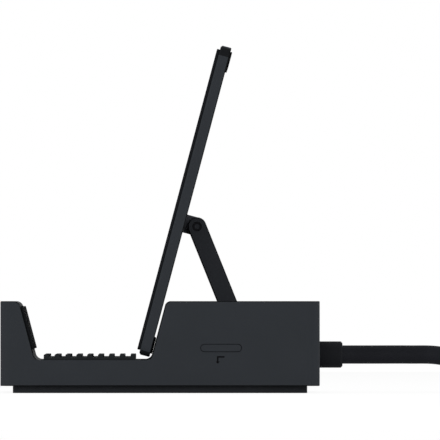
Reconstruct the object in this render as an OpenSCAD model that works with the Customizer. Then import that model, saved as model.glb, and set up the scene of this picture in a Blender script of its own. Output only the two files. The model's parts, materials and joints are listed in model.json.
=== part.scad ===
// Handheld console dock: a low housing with a trough that the console stands in,
// and a folding back plate carried on a wide hinged strut.
// X runs across the dock, Y from its front to its rear, Z up. The origin is under the foot.

/* [Housing] */
// Width of the dock, side to side
body_w = 130; // [108:1:170]
// Depth of the dock, front to rear
body_d = 90; // [84:1:110]
// Height of the housing above its foot
body_h = 23.9; // [21:0.1:30]
// Radius of the housing's upright corners
corner_r = 3.5; // [2.5:0.1:8]
// Thickness of the housing's walls
wall = 2; // [1.4:0.1:2.4]
// Clearance between pieces that drop into one another
fit_gap = 0.15; // [0.05:0.01:0.3]

/* [Base] */
// Thickness of the bottom cover
cover_t = 1.6; // [1.2:0.1:2.4]
// Height of the rubber foot
foot_h = 2; // [1:0.1:4]
// Distance from the housing's side to the foot
foot_inset = 3.5; // [2:0.1:6]
// Width of the foot's band
foot_band = 12; // [8:0.5:16]
// Radius of the cover's screw shanks
cover_screw_r = 1; // [0.8:0.05:1.3]
// Radius of the cover's screw heads
cover_head_r = 2.1; // [1.8:0.1:2.5]
// Length of the cover's screws
cover_screw_len = 8; // [5:0.5:12]
// Radius of the housing's screw bosses
boss_r = 2.6; // [2:0.1:3]
// Distance from the housing's sides to its corner bosses
boss_inset = 6.1; // [5.6:0.1:9]

/* [Trough] */
// Thickness of the front lip at its top
lip_t = 5.3; // [4.4:0.1:9]
// Height of the trough's floor above the foot
floor_up = 7.3; // [5.5:0.1:9]
// Width of the trough's floor
trough_w = 32.7; // [28:0.1:38]
// Lean of the trough's two walls
trough_lean = 14.9; // [10:0.1:18]
// Thickness of the trough's floor
floor_t = 1.5; // [1:0.1:2]
// Radius between the trough's floor and walls
trough_r = 2; // [1:0.1:3]
// Radius on the lip's top inner edge
lip_r = 2.05; // [0.8:0.05:3]
// Radius on the housing's top front edge
block_r = 1.7; // [0.8:0.1:3]

/* [Rubber lining] */
// Thickness of the ribbed mat's sheet
mat_t = 0.8; // [0.5:0.05:1.2]
// Height of the mat's ribs
rib_h = 0.75; // [0.4:0.05:1.2]
// Width of each rib
rib_w = 1.5; // [1:0.1:2]
// Distance from one rib to the next
rib_pitch = 3.06; // [2.5:0.02:3.3]
// Distance from the lip's foot to the mat
mat_start = 2.5; // [2:0.05:4]
// Distance from the dock's side to the end of the mat and the lip pad
mat_inset = 1.5; // [0.5:0.1:6]
// Thickness of the lip pad
lip_pad_t = 0.7; // [0.4:0.05:1.2]
// Length of the lip pad up the lip's slope
lip_pad_len = 12.5; // [8:0.1:13]
// Distance up the slope to the lip pad's lower edge
lip_pad_up = 3.1; // [2:0.1:4]

/* [Back plate] */
// Length of the back plate up its slope
plate_len = 90.1; // [80:0.1:110]
// Thickness of the back plate
plate_t = 3.05; // [2.4:0.05:4]
// Radius of the back plate's corners
plate_r = 2.8; // [1:0.1:6]
// Chamfer round the back plate's front edge
plate_chamfer = 0.45; // [0.2:0.05:0.8]
// Gap between the back plate and the housing's slope
plate_gap = 0.62; // [0.55:0.01:1.2]
// Gap between the back plate's foot and the trough's floor
plate_rise = 0.85; // [0.3:0.05:1.5]
// Thickness of the back plate's rubber front pad
front_pad_t = 0.85; // [0.5:0.05:1.5]
// Distance from the back plate's edge to the pad on its front
pad_inset = 1.25; // [0.8:0.05:3]
// Thickness of the two bumpers on the plate's back
bumper_t = 0.5; // [0.2:0.05:0.5]
// Height of each bumper strip
bumper_h = 4.7; // [3:0.1:8]
// Distance from the back plate's side to the end of a bumper strip
bumper_inset = 9; // [4:0.5:20]
// Distance from the back plate's end to the bumper strip beside it
bumper_end = 1; // [0.8:0.05:3]

/* [Strut and hinges] */
// Width of the strut, side to side
strut_w = 40; // [30:1:46]
// Thickness of the strut
strut_t = 5.2; // [4.6:0.1:5.8]
// Lean of the strut from upright
strut_lean = 21.9; // [16:0.1:26]
// Distance up the back plate to the upper hinge
hinge_up = 39.2; // [36:0.1:46]
// Distance from the back plate's back to the upper hinge's axis
hinge_out = 3.6; // [3.4:0.05:5]
// Depth of the lower hinge's axis below the housing's top
hinge_depth = 5.7; // [5:0.1:7]
// Width of the bracket's tongue between the strut's cheeks
tongue_w = 18; // [12:0.5:20]
// Radius of the upper hinge pin
upper_pin_r = 1.08; // [0.8:0.02:1.3]
// Radius of the lower hinge pin
lower_pin_r = 1.25; // [0.9:0.05:1.5]
// Radial clearance of a pin in the piece that turns on it
run_gap = 0.04; // [0.02:0.01:0.08]
// Radius of the recess round each end of the upper pin
pin_recess_r = 1.37; // [1.34:0.01:1.6]
// Depth of the recess round each end of the upper pin
pin_recess_d = 0.5; // [0.2:0.1:1]
// Thickness of the washers beside each hinge
washer_t = 0.5; // [0.3:0.05:0.8]
// Side clearance of each washer
washer_gap = 0.1; // [0.05:0.01:0.2]
// Clearance between the strut's heel and its recess
heel_gap = 0.6; // [0.4:0.05:1]
// Thickness of the recess walls that hold the lower pin
hinge_wall = 4; // [3:0.1:5]
// Width of the bracket's flange
flange_w = 36; // [32:0.5:44]
// Height of the bracket's flange
flange_h = 14; // [12:0.5:18]
// Thickness of the bracket's flange
flange_t = 1.2; // [1:0.05:1.4]
// Radius of the bracket's screw shanks
bracket_screw_r = 0.8; // [0.6:0.05:1]
// Radius of the bracket's screw heads
bracket_head_r = 1.5; // [1.2:0.05:1.8]
// Length of the bracket's screws
bracket_screw_len = 2.3; // [2:0.05:2.5]
// Distance between the bracket's screws, up the plate
bracket_screw_rise = 7.6; // [7:0.1:9]

/* [Board and sockets] */
// Thickness of the circuit board
board_t = 1.2; // [0.8:0.1:1.6]
// Height of the posts under the board
post_h = 2.4; // [2:0.1:3]
// Radius of the posts under the board
post_r = 2.2; // [1.8:0.1:3]
// Radius of the board's screw shanks
board_screw_r = 0.8; // [0.6:0.05:1]
// Radius of the board's screw heads
board_head_r = 1.7; // [1.4:0.1:2]
// Height of the board's screw heads
board_head_h = 1; // [0.6:0.1:1.4]
// Distance of the socket faces inside the rear wall's face
socket_recess = 0.3; // [0:0.05:0.6]
// Thickness of the metal shells round the sockets
shell_t = 0.4; // [0.3:0.05:0.5]
// Width of a type A socket
usb_w = 13.1; // [12.6:0.1:14]
// Height of a type A socket
usb_h = 5.8; // [5.6:0.1:6.4]
// Depth of a type A socket
usb_d = 14; // [12:0.5:17]
// Width of the video socket
hdmi_w = 15; // [14.5:0.1:16]
// Height of the video socket
hdmi_h = 5.6; // [5.4:0.1:6.2]
// Depth of the video socket
hdmi_d = 11; // [10:0.5:14]
// Width of the type C socket
usb_c_w = 9; // [8.9:0.05:9.6]
// Height of the type C socket
usb_c_h = 3.3; // [3.2:0.05:3.6]
// Depth of the type C socket
usb_c_d = 8; // [7:0.5:10]
// Width of the network socket
net_w = 16; // [15:0.1:17]
// Height of the network socket
net_h = 13.4; // [12.8:0.1:14]
// Depth of the network socket
net_d = 17; // [15:0.5:21]
// Width of the network socket's mouth
net_mouth_w = 11.8; // [11:0.1:12.5]
// Height of the network socket's mouth
net_mouth_h = 8; // [7:0.1:8.5]
// Depth of the network socket's mouth
net_mouth_d = 13; // [11:0.5:14]
// Width of the network socket's latch slot
net_latch_w = 6; // [5:0.1:7]
// Height of the network socket's latch slot
net_latch_h = 2.4; // [2:0.1:3]
// Thickness of the chips
chip_h = 1; // [0.8:0.1:1.4]
// Height of the heat sink on the hub chip
sink_h = 4; // [3:0.1:5]
// Width of the heat sink
sink_w = 28; // [20:1:36]
// Number of fins on the heat sink
sink_fins = 7; // [5:1:9]

/* [Button] */
// Width of the side button
button_w = 11.7; // [9:0.1:14]
// Height of the side button
button_h = 2.3; // [2:0.1:4]
// Distance of the side button behind the middle of the dock
button_y = 17.2; // [15:0.1:20]
// Height of the side button above the board
button_up = 5.5; // [5:0.1:7]
// Travel of the side button
button_travel = 0.4; // [0.2:0.05:0.6]
// Rim of the button's flange behind the wall
button_rim = 0.9; // [0.6:0.1:1.2]
// Thickness of the button's flange
button_flange_t = 0.8; // [0.6:0.1:1.2]
// Length of each arm of the bent arrow engraved under the button
arrow_len = 1.9; // [1.4:0.1:2.4]
// Width of the arrow's stroke
arrow_w = 0.4; // [0.3:0.05:0.5]
// Depth of the engraving
arrow_depth = 0.25; // [0.15:0.05:0.4]
// Distance from the button's middle down to the arrow
arrow_drop = 2.5; // [2.3:0.1:3.2]

/* [Cord] */
// Diameter of the cord
cord_d = 5.2; // [4:0.1:6]
// Height of the cord's axis above the board
cord_up = 3.6; // [3.2:0.1:5]
// Length of the strain relief outside the housing
relief_len = 6.6; // [4:0.1:12]
// Radius of the strain relief
relief_r = 3.73; // [3.2:0.01:4.2]
// Radius of the strain relief's flange inside the wall
relief_flange_r = 4.5; // [4.3:0.1:5]
// Width of the cord's plug
plug_w = 12.2; // [11:0.1:13]
// Thickness of the cord's plug
plug_t = 6.5; // [6:0.1:7]
// Length of the plug's grip
plug_len = 22; // [16:0.5:28]

/* [Hidden] */

// True circles, and the coarser ones that are only blended
$fn = 64;
blend_fn = 32;
// How far a cut runs past what it cuts
over = 1;
// The smallest radius that an inner corner keeps
least_r = 0.5;
// How far the arc of a rounded corner reaches past the faces that it joins
crossing = 0.01;
// Thickness of the glue film under the lip pad
film = 0.02;

// Heights of the housing, from the ground up
top_z = foot_h + body_h;
floor_z = foot_h + floor_up;
cover_top_z = foot_h + cover_t;
board_z = cover_top_z + post_h;
board_top_z = board_z + board_t;
ceiling_z = top_z - wall;

// Depths of the housing, from front to rear
front_y = -body_d / 2;
rear_y = body_d / 2;
lean_run = tan(trough_lean) * (top_z - floor_z);
lip_foot_y = front_y + lip_t + lean_run;
block_foot_y = lip_foot_y + trough_w;
slope_wall = wall / cos(trough_lean);
in_w = body_w - 2 * wall;
in_d = body_d - 2 * wall;
in_r = max(corner_r - wall, least_r);

// The back plate's foot, its slope and the two hinge axes
plate_foot_z = floor_z + plate_rise;
plate_foot_y = block_foot_y + plate_rise * tan(trough_lean) - plate_gap / cos(trough_lean);
upper_y = plate_foot_y + hinge_up * sin(trough_lean) + hinge_out * cos(trough_lean);
upper_z = plate_foot_z + hinge_up * cos(trough_lean) - hinge_out * sin(trough_lean);
lower_z = top_z - hinge_depth;
strut_len = (upper_z - lower_z) / cos(strut_lean);
lower_y = upper_y + strut_len * sin(strut_lean);
strut_r = strut_t / 2;

// The strut's recess in the housing's top
recess_w = strut_w + 2 * (washer_t + 2 * washer_gap);
recess_z = lower_z - strut_r - heel_gap;
recess_rear_y = lower_y + strut_r + heel_gap;
recess_block_w = recess_w + 2 * hinge_wall;
lower_pin_len = recess_w + 2 * (hinge_wall - fit_gap);

// The notch at the strut's top, and the bracket's flange and screws
notch_w = tongue_w + 2 * (washer_t + 2 * washer_gap);
bracket_screw_x = (tongue_w + flange_w) / 4;
washer_r = strut_r - fit_gap;

// Screw bosses of the housing: rear corners, beside the slope and in the front lip
boss_x = body_w / 2 - boss_inset;
boss_rear_y = rear_y - boss_inset;
boss_mid_y = block_foot_y + slope_wall + boss_r + boss_r / 2;
boss_front_y = front_y + boss_inset;
boss_ys = [boss_front_y, boss_mid_y, boss_rear_y];
boss_places = [for (side = [-1, 1], y = boss_ys) [side * boss_x, y]];

// The board's outline and posts
board_rear_y = rear_y - wall - fit_gap * 2;
board_front_y = boss_mid_y + boss_r + post_r;
board_w = 2 * (boss_x - boss_r - post_r / 2);
post_inset = post_r + board_t;
post_places = [for (side = [-1, 1], y = [board_front_y + post_inset, board_rear_y - post_inset])
    [side * (board_w / 2 - post_inset), y]];
wing_w = body_w / 2 - wall - board_t - board_w / 2;

// Shares of the chips' width and thickness, and of the heat sink's height and fin pitch
dimple_floor_share = 0.8;
dimple_r_share = 0.07;
power_chip_share = 0.75;
sink_base_share = 0.35;
fin_share = 0.45;

// Shares of the board's depth in front of the sockets: to the chips, and for the chip and
// the heat sink on it
chip_place_share = 0.4;
chip_share = 0.4;
sink_share = 0.49;

// Shares of the width that the row of sockets leaves free: between neighbours, and beside the cord
gap_share = 0.116;
cord_side_share = 0.224;

// The row of sockets, set out between the board's rear screws from the cord to the other side
row_w = board_w - 2 * post_inset - 2 * board_head_r;
free_w = row_w - 2 * relief_flange_r - usb_c_w - hdmi_w - 2 * usb_w - net_w;
socket_gap = free_w * gap_share;
cord_x = row_w / 2 - free_w * cord_side_share - relief_flange_r;
usb_c_x = cord_x - relief_flange_r - socket_gap - usb_c_w / 2;
hdmi_x = usb_c_x - usb_c_w / 2 - socket_gap - hdmi_w / 2;
usb_right_x = hdmi_x - hdmi_w / 2 - socket_gap - usb_w / 2;
usb_left_x = usb_right_x - usb_w - socket_gap;
net_x = usb_left_x - usb_w / 2 - socket_gap - net_w / 2;
socket_y = rear_y - socket_recess;

// The cord and its strain relief
cord_r = cord_d / 2;
cord_z = board_top_z + cord_up;
relief_edge = relief_r / 8;
relief_neck_r = (relief_r + cord_r) / 2;
relief_flange_t = wall - 2 * relief_edge / 2;
header_w = 2 * relief_neck_r;

// The cord's route in millimetres behind the strain relief, chosen by hand: away from the housing,
// down to the ground, one and a quarter turns that climb over their own start, and down to the plug
lead_route = [
    [0, 0, cord_z], [0, 8.7, cord_z], [0, 18.7, cord_z], [0, 26.7, 10.6], [0, 34.7, 8.9],
    [0, 41.7, 6.1], [0, 48.7, 3.7], [0, 55.7, 2.75], [0, 62.7, 2.7]
];
tail_route = [
    [-29, 91.7, 8], [-36, 91.7, 8], [-43, 91.7, 7.6], [-50, 91.7, 6.2], [-57, 91.7, 4.4],
    [-64, 91.7, 3.3], [-69, 91.7, 3.3]
];
coil_at = [-29, 62.7, 0];
coil_r = 29;
coil_rise = 5.3;
tube_sides = 8;

// Rounded rectangle made of true arcs
module rounded_rect(w, d, r) {
    square([w - 2 * r, d], center = true);
    square([w, d - 2 * r], center = true);
    for (sx = [-1, 1], sy = [-1, 1])
        translate([sx * (w / 2 - r), sy * (d / 2 - r)]) circle(r);
}

// Slot with round ends
module pill(w, h) {
    square([w - h, h], center = true);
    for (side = [-1, 1]) translate([side * (w - h) / 2, 0]) circle(h / 2);
}

// Upright block with rounded corners
module block(w, d, r, z, h) {
    translate([0, 0, z]) linear_extrude(h) rounded_rect(w, d, r);
}

// A front-to-rear section carried across the dock
module across(w) {
    rotate([90, 0, 90]) translate([0, 0, -w / 2]) linear_extrude(w) children();
}

// A shape that faces the rear, pushed forward from the face at y
module from_rear(y, depth) {
    translate([0, y, 0]) rotate([90, 0, 0]) linear_extrude(depth) children();
}

// Cylinder along X, centred
module barrel(r, w) {
    rotate([0, 90, 0]) cylinder(h = w, r = r, center = true);
}

// The waste that rounds a corner p between edges along a and b. It starts outside the corner,
// and its arc crosses both edges, because one that only touches them leaves slivers.
module corner_waste(p, a, b, r) {
    half = acos(a * b) / 2;
    inward = (a + b) / norm(a + b);
    reach = r / tan(half);
    middle = p + inward * r / sin(half);
    difference() {
        polygon([p - inward * over, p + a * reach, middle, p + b * reach]);
        translate(middle) circle(r + crossing);
    }
}

// Section of the trough's cut, with its floor corners rounded
// and its top edges rounded over
module trough_section() {
    lip_dir = [-sin(trough_lean), cos(trough_lean)];
    block_dir = [sin(trough_lean), cos(trough_lean)];
    lip_top = [lip_foot_y - lean_run, top_z];
    block_top = [block_foot_y + lean_run, top_z];
    difference() {
        polygon([
            [lip_foot_y, floor_z], [block_foot_y, floor_z],
            block_top, block_top + [0, over], lip_top + [0, over], lip_top
        ]);
        corner_waste([lip_foot_y, floor_z], [1, 0], lip_dir, trough_r);
        corner_waste([block_foot_y, floor_z], [-1, 0], block_dir, trough_r);
    }
    corner_waste(lip_top, [-1, 0], -lip_dir, lip_r);
    corner_waste(block_top, [1, 0], -block_dir, block_r);
}

// Section of the housing's hollow, one wall inside its faces
module hollow_section() {
    under_z = floor_z - floor_t;
    function lip_y(z) = lip_foot_y - (z - floor_z) * tan(trough_lean) - slope_wall;
    function block_y(z) = block_foot_y + (z - floor_z) * tan(trough_lean) + slope_wall;
    polygon([
        [front_y + wall, foot_h - over], [front_y + wall, ceiling_z], [lip_y(ceiling_z), ceiling_z],
        [lip_y(under_z), under_z], [block_y(under_z), under_z], [block_y(ceiling_z), ceiling_z],
        [rear_y - wall, ceiling_z], [rear_y - wall, foot_h - over]
    ]);
}

// Outlines of the socket faces, standing on the board
module network_face() translate([net_x, board_top_z + net_h / 2]) square([net_w, net_h], center = true);
module usb_a_face(x) translate([x, board_top_z + usb_h / 2]) square([usb_w, usb_h], center = true);
module bevelled_face(x, w, h, lift) {
    bevel = h / 4;
    translate([x, board_top_z + lift]) polygon([
        [-w / 2 + bevel, 0], [w / 2 - bevel, 0], [w / 2, bevel], [w / 2, h], [-w / 2, h], [-w / 2, bevel]
    ]);
}
module usb_c_face() translate([usb_c_x, board_top_z + usb_c_h / 2]) pill(usb_c_w, usb_c_h);

// A hole in the rear wall round a w by h socket that stands on the board at x
module wall_window(x, w, h) {
    translate([x, board_top_z + h / 2]) square([w + 2 * fit_gap, h + 2 * fit_gap], center = true);
}

module place_button() {
    translate([body_w / 2, button_y, board_top_z + button_up]) rotate([90, 0, 90]) children();
}

// Outline of the bent arrow under the button: it comes from the right and points down
module bent_arrow() {
    side = arrow_w / 2;
    head = 3 * side;
    translate([-arrow_len / 2, -arrow_drop]) polygon([
        [arrow_len, side], [arrow_len, -side], [side, -side], [side, head - arrow_len],
        [head, head - arrow_len], [0, -arrow_len], [-head, head - arrow_len],
        [-side, head - arrow_len], [-side, side]
    ]);
}

// One-piece moulding: front lip, trough, hollow rear block and the strut's recess
module top_shell() color("#33353a") difference() {
    union() {
        difference() {
            block(body_w, body_d, corner_r, foot_h, body_h);
            intersection() {
                block(in_w, in_d, in_r, foot_h - over, body_h);
                across(body_w) hollow_section();
            }
        }
        for (p = boss_places)
            translate([p.x, p.y, cover_top_z]) cylinder(h = ceiling_z - cover_top_z + wall / 2, r = boss_r);
        translate([-recess_block_w / 2, block_foot_y, recess_z - wall])
            cube([recess_block_w, recess_rear_y + wall - block_foot_y, top_z - recess_z + wall / 2]);
    }
    across(body_w + 2 * over) trough_section();
    // The strut's recess, open at the top and through the slope
    translate([-recess_w / 2, block_foot_y - over, recess_z])
        cube([recess_w, recess_rear_y - block_foot_y + over, top_z - recess_z + over]);
    translate([0, lower_y, lower_z]) barrel(lower_pin_r, lower_pin_len);
    for (p = boss_places)
        translate([p.x, p.y, cover_top_z - over])
            cylinder(h = cover_screw_len + over, r = cover_screw_r);
    from_rear(rear_y + over, wall + 2 * over) {
        wall_window(net_x, net_w, net_h);
        wall_window(usb_left_x, usb_w, usb_h);
        wall_window(usb_right_x, usb_w, usb_h);
        wall_window(hdmi_x, hdmi_w, hdmi_h);
        translate([usb_c_x, board_top_z + usb_c_h / 2]) pill(usb_c_w + 2 * fit_gap, usb_c_h + 2 * fit_gap);
        translate([cord_x, cord_z]) circle(relief_neck_r);
    }
    place_button() translate([0, 0, -wall - over])
        linear_extrude(wall + 2 * over) pill(button_w, button_h);
    place_button() translate([0, 0, -arrow_depth]) linear_extrude(arrow_depth + over) bent_arrow();
}

// Flat lid that closes the housing from below and carries the board's posts
module bottom_cover() color("#27282b") difference() {
    union() {
        block(in_w - 2 * fit_gap, in_d - 2 * fit_gap, in_r, foot_h, cover_t);
        for (p = post_places) translate([p.x, p.y, foot_h]) cylinder(h = cover_t + post_h, r = post_r);
    }
    hole_r = cover_screw_r + fit_gap;
    for (p = boss_places) translate([p.x, p.y, foot_h]) {
        translate([0, 0, -over]) cylinder(h = cover_t + 2 * over, r = hole_r);
        cylinder(h = cover_head_r - cover_screw_r, r1 = cover_head_r + fit_gap, r2 = hole_r);
    }
    for (p = post_places) translate([p.x, p.y, cover_top_z]) cylinder(h = post_h + over, r = board_screw_r);
}

// Six countersunk screws that hold the cover to the housing
module cover_screws() color("#8d9095") for (p = boss_places) translate([p.x, p.y, foot_h]) difference() {
    union() {
        cylinder(h = cover_head_r - cover_screw_r, r1 = cover_head_r, r2 = cover_screw_r);
        cylinder(h = cover_t + cover_screw_len - fit_gap, r = cover_screw_r);
    }
    cylinder(h = cover_screw_r, r = cover_screw_r / 2, $fn = 6);
}

// Non-slip foot, one flat ring glued under the cover and over its screws
module rubber_foot() color("#1e2021") difference() {
    block(body_w - 2 * foot_inset, body_d - 2 * foot_inset, corner_r, 0, foot_h);
    block(body_w - 2 * (foot_inset + foot_band), body_d - 2 * (foot_inset + foot_band), corner_r, -over,
        foot_h + 2 * over);
}

// Ribbed rubber mat on the trough's floor, its ribs along the dock
mat_room = plate_foot_y - plate_t * cos(trough_lean) - rib_h - lip_foot_y - mat_start;
rib_count = floor((mat_room - rib_w) / rib_pitch) + 1;
mat_d = (rib_count - 1) * rib_pitch + rib_w;
lining_w = body_w - 2 * mat_inset;
module trough_mat() color("#17181a") translate([0, lip_foot_y + mat_start, floor_z]) across(lining_w) {
    square([mat_d, mat_t]);
    for (i = [0 : rib_count - 1]) translate([i * rib_pitch, 0]) square([rib_w, mat_t + rib_h]);
}

// Rubber strip glued to the lip's inner slope
module lip_pad() color("#17181a")
    translate([0, lip_foot_y, floor_z]) rotate([trough_lean, 0, 0])
        translate([-lining_w / 2, film, lip_pad_up]) cube([lining_w, lip_pad_t, lip_pad_len]);

// Circuit board with a wing that reaches the side button
module main_board() color("#1f5a3a") difference() {
    union() {
        translate([-board_w / 2, board_front_y, board_z])
            cube([board_w, board_rear_y - board_front_y, board_t]);
        translate([0, button_y - button_w / 2, board_z]) cube([board_w / 2 + wing_w, button_w, board_t]);
    }
    for (p = post_places) translate([p.x, p.y, board_z - over])
        cylinder(h = board_t + 2 * over, r = board_screw_r + fit_gap);
    translate([cord_x - relief_flange_r - fit_gap, header_rear_y - fit_gap, board_z - over])
        cube([2 * (relief_flange_r + fit_gap), board_rear_y - header_rear_y + over, board_t + 2 * over]);
}

// Four pan-head screws that hold the board to the cover's posts
module board_screws() color("#9a9da2") for (p = post_places) translate([p.x, p.y, board_top_z]) difference() {
    union() {
        cylinder(h = board_head_h, r = board_head_r);
        translate([0, 0, fit_gap - board_t - post_h]) cylinder(h = board_t + post_h, r = board_screw_r);
    }
    translate([0, 0, board_head_h / 2]) cylinder(h = board_head_h, r = board_screw_r / 2, $fn = 6);
}

// A square chip with its pin-one dimple
module chip(x, y, w) translate([x, y, board_top_z]) difference() {
    translate([-w / 2, -w / 2, 0]) cube([w, w, chip_h]);
    translate([-w / 3, w / 3, chip_h * dimple_floor_share]) cylinder(h = chip_h, r = w * dimple_r_share);
}
chip_room = socket_y - usb_d - board_front_y;
chip_y = board_front_y + chip_room * chip_place_share;
chip_w = chip_room * chip_share;
sink_d = chip_room * sink_share;
module hub_chip() color("#202124") chip(0, chip_y, chip_w);
module power_chip() color("#202124") chip(-sink_w, chip_y, chip_w * power_chip_share);

// Finned aluminium block bonded to the hub chip
module heat_sink() color("#a9acb0") translate([-sink_w / 2, chip_y - sink_d / 2, board_top_z + chip_h]) {
    pitch = sink_w / (sink_fins - 1 + fin_share);
    cube([sink_w, sink_d, sink_h * sink_base_share]);
    for (i = [0 : sink_fins - 1]) translate([i * pitch, 0, 0]) cube([pitch * fin_share, sink_d, sink_h]);
}

// Side-acting switch that stands behind the button
switch_d = button_h * 1.6;
switch_face_x = body_w / 2 - wall - button_flange_t * 2 - button_travel;
module button_switch() color("#2b2c2f") translate([0, button_y, board_top_z]) {
    translate([switch_face_x - button_h / 2 - switch_d, -button_w / 4, 0])
        cube([switch_d, button_w / 2, button_up + button_h]);
    translate([switch_face_x - button_h / 2, 0, button_up]) rotate([0, 90, 0])
        cylinder(h = button_h / 2, r = button_h / 3);
}

// Network socket: a plain block with the plug's mouth and latch slot cut into it
module network_socket() color("#3a3c40") difference() {
    from_rear(socket_y, net_d) network_face();
    translate([net_x, 0, board_top_z + net_h / 2]) {
        translate([-net_mouth_w / 2, socket_y - net_mouth_d, -net_mouth_h / 2])
            cube([net_mouth_w, net_mouth_d + over, net_mouth_h]);
        translate([-net_latch_w / 2, socket_y - net_mouth_d, -net_mouth_h / 2 - net_latch_h])
            cube([net_latch_w, net_mouth_d + over, net_latch_h + over]);
    }
}

// Shares of each metal socket's depth, width and height that its hollow and its tongue take
hollow_share = 0.72;
usb_tongue_shares = [0.84, 0.3, 0.55];
video_tongue_shares = [0.74, 0.18, 0.45];
usb_c_tongue_shares = [0.72, 0.2, 0.4];

// The tongue inside a socket of width w, height h and depth d at x: its shares are of
// the width, of the height, and of the height under it
module socket_tongue(x, w, h, d, shares) {
    translate([x - w * shares[0] / 2, socket_y - d * hollow_share - shell_t / 2, board_top_z + h * shares[2]])
        cube([w * shares[0], d * hollow_share - shell_t / 2, h * shares[1]]);
}

// Metal shell round an insulating tongue, for the type A sockets
module usb_a_socket(x) {
    difference() {
        from_rear(socket_y, usb_d) usb_a_face(x);
        translate([x - usb_w / 2 + shell_t, socket_y - usb_d * hollow_share, board_top_z + shell_t])
            cube([usb_w - 2 * shell_t, usb_d * hollow_share + over, usb_h - 2 * shell_t]);
    }
    socket_tongue(x, usb_w, usb_h, usb_d, usb_tongue_shares);
}
module usb_a_socket_left() color("#b3b5b8") usb_a_socket(usb_left_x);
module usb_a_socket_right() color("#b3b5b8") usb_a_socket(usb_right_x);

// Video socket: bevelled shell and a thin middle tongue
module video_socket() color("#b3b5b8") {
    inner_w = hdmi_w - 2 * shell_t;
    inner_h = hdmi_h - 2 * shell_t;
    difference() {
        from_rear(socket_y, hdmi_d) bevelled_face(hdmi_x, hdmi_w, hdmi_h, 0);
        from_rear(socket_y + over, hdmi_d * hollow_share + over)
            bevelled_face(hdmi_x, inner_w, inner_h, shell_t);
    }
    socket_tongue(hdmi_x, hdmi_w, hdmi_h, hdmi_d, video_tongue_shares);
}

// Type C socket: oval shell and a thin middle tongue
module usb_c_socket() color("#b3b5b8") {
    difference() {
        from_rear(socket_y, usb_c_d) usb_c_face();
        from_rear(socket_y + over, usb_c_d * hollow_share + over)
            translate([usb_c_x, board_top_z + usb_c_h / 2])
                pill(usb_c_w - 2 * shell_t, usb_c_h - 2 * shell_t);
    }
    socket_tongue(usb_c_x, usb_c_w, usb_c_h, usb_c_d, usb_c_tongue_shares);
}

// Block on the board that the cord's wires end in
header_rear_y = rear_y - wall - relief_flange_t;
module cord_header() color("#dcd8cc")
    translate([cord_x - header_w / 2, header_rear_y - header_w, board_top_z])
        cube([header_w, header_w, cord_up + cord_r]);

// Moulded strain relief: flange behind the wall, neck through it and sleeve outside
sleeve_start = relief_flange_t + wall;
relief_end = sleeve_start + relief_len;
module strain_relief() color("#1c1e20")
    translate([cord_x, header_rear_y, cord_z]) rotate([-90, 0, 0]) rotate_extrude() polygon([
        [0, 0], [relief_flange_r, 0], [relief_flange_r, relief_flange_t], [relief_neck_r, relief_flange_t],
        [relief_neck_r, sleeve_start], [relief_r, sleeve_start], [relief_r, relief_end - relief_edge],
        [relief_r - relief_edge, relief_end], [0, relief_end]
    ]);

// Steel pin held in the recess walls, and the washers beside the strut's heel
module lower_hinge_pin() color("#a3a6aa") translate([0, lower_y, lower_z]) barrel(lower_pin_r, lower_pin_len);
module washer_pair(pin_r, x) for (side = [-1, 1]) translate([side * x, 0, 0]) difference() {
    barrel(washer_r, washer_t);
    barrel(pin_r + run_gap, washer_t + over);
}
module lower_washers() color("#8c8f94") translate([0, lower_y, lower_z])
    washer_pair(lower_pin_r, strut_w / 2 + washer_gap + washer_t / 2);

// Side button: a pill in the wall, a wider flange behind it and a stem for the switch
module mode_button() color("#2e3035") place_button() {
    stem_r = button_h / 3;
    translate([0, 0, -wall - washer_gap]) linear_extrude(wall + washer_gap)
        pill(button_w - 2 * fit_gap, button_h - 2 * fit_gap);
    translate([0, 0, -wall - washer_gap - button_flange_t]) linear_extrude(button_flange_t)
        pill(button_w + 2 * button_rim, button_h + 2 * button_rim);
    translate([0, 0, -wall - 2 * button_flange_t]) cylinder(h = button_flange_t, r = stem_r);
}

// The strut's own frame: its origin on the lower axis, Z up to the upper axis
module on_strut() translate([0, lower_y, lower_z]) rotate([strut_lean, 0, 0]) children();

// Wide flat strut with round ends, a notch at the top for the bracket's tongue
module strut_arm() color("#2b2c33") on_strut() difference() {
    union() {
        barrel(strut_r, strut_w);
        translate([-strut_w / 2, -strut_r, 0]) cube([strut_w, strut_t, strut_len]);
        translate([0, 0, strut_len]) barrel(strut_r, strut_w);
    }
    barrel(lower_pin_r + run_gap, strut_w + over);
    translate([-notch_w / 2, -strut_t, strut_len - strut_r - heel_gap])
        cube([notch_w, 2 * strut_t, 2 * strut_t]);
    translate([0, 0, strut_len]) {
        barrel(upper_pin_r, strut_w + over);
        for (side = [-1, 1]) translate([side * strut_w / 2, 0, 0]) barrel(pin_recess_r, 2 * pin_recess_d);
    }
}

// Steel pin held in the strut's cheeks, and the washers beside the tongue
module upper_hinge_pin() color("#6d7077") on_strut()
    translate([0, 0, strut_len]) barrel(upper_pin_r, strut_w);
module upper_washers() color("#8c8f94") on_strut() translate([0, 0, strut_len])
    washer_pair(upper_pin_r, tongue_w / 2 + washer_gap + washer_t / 2);

// The back plate's own frame: its origin at its rear bottom edge, Z up the plate, Y to its back
module on_plate() translate([0, plate_foot_y, plate_foot_z]) rotate([-trough_lean, 0, 0]) children();

bracket_screw_places = [for (sx = [-1, 1], sz = [-1, 1])
    [sx * bracket_screw_x, hinge_up + sz * bracket_screw_rise / 2]];

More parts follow.
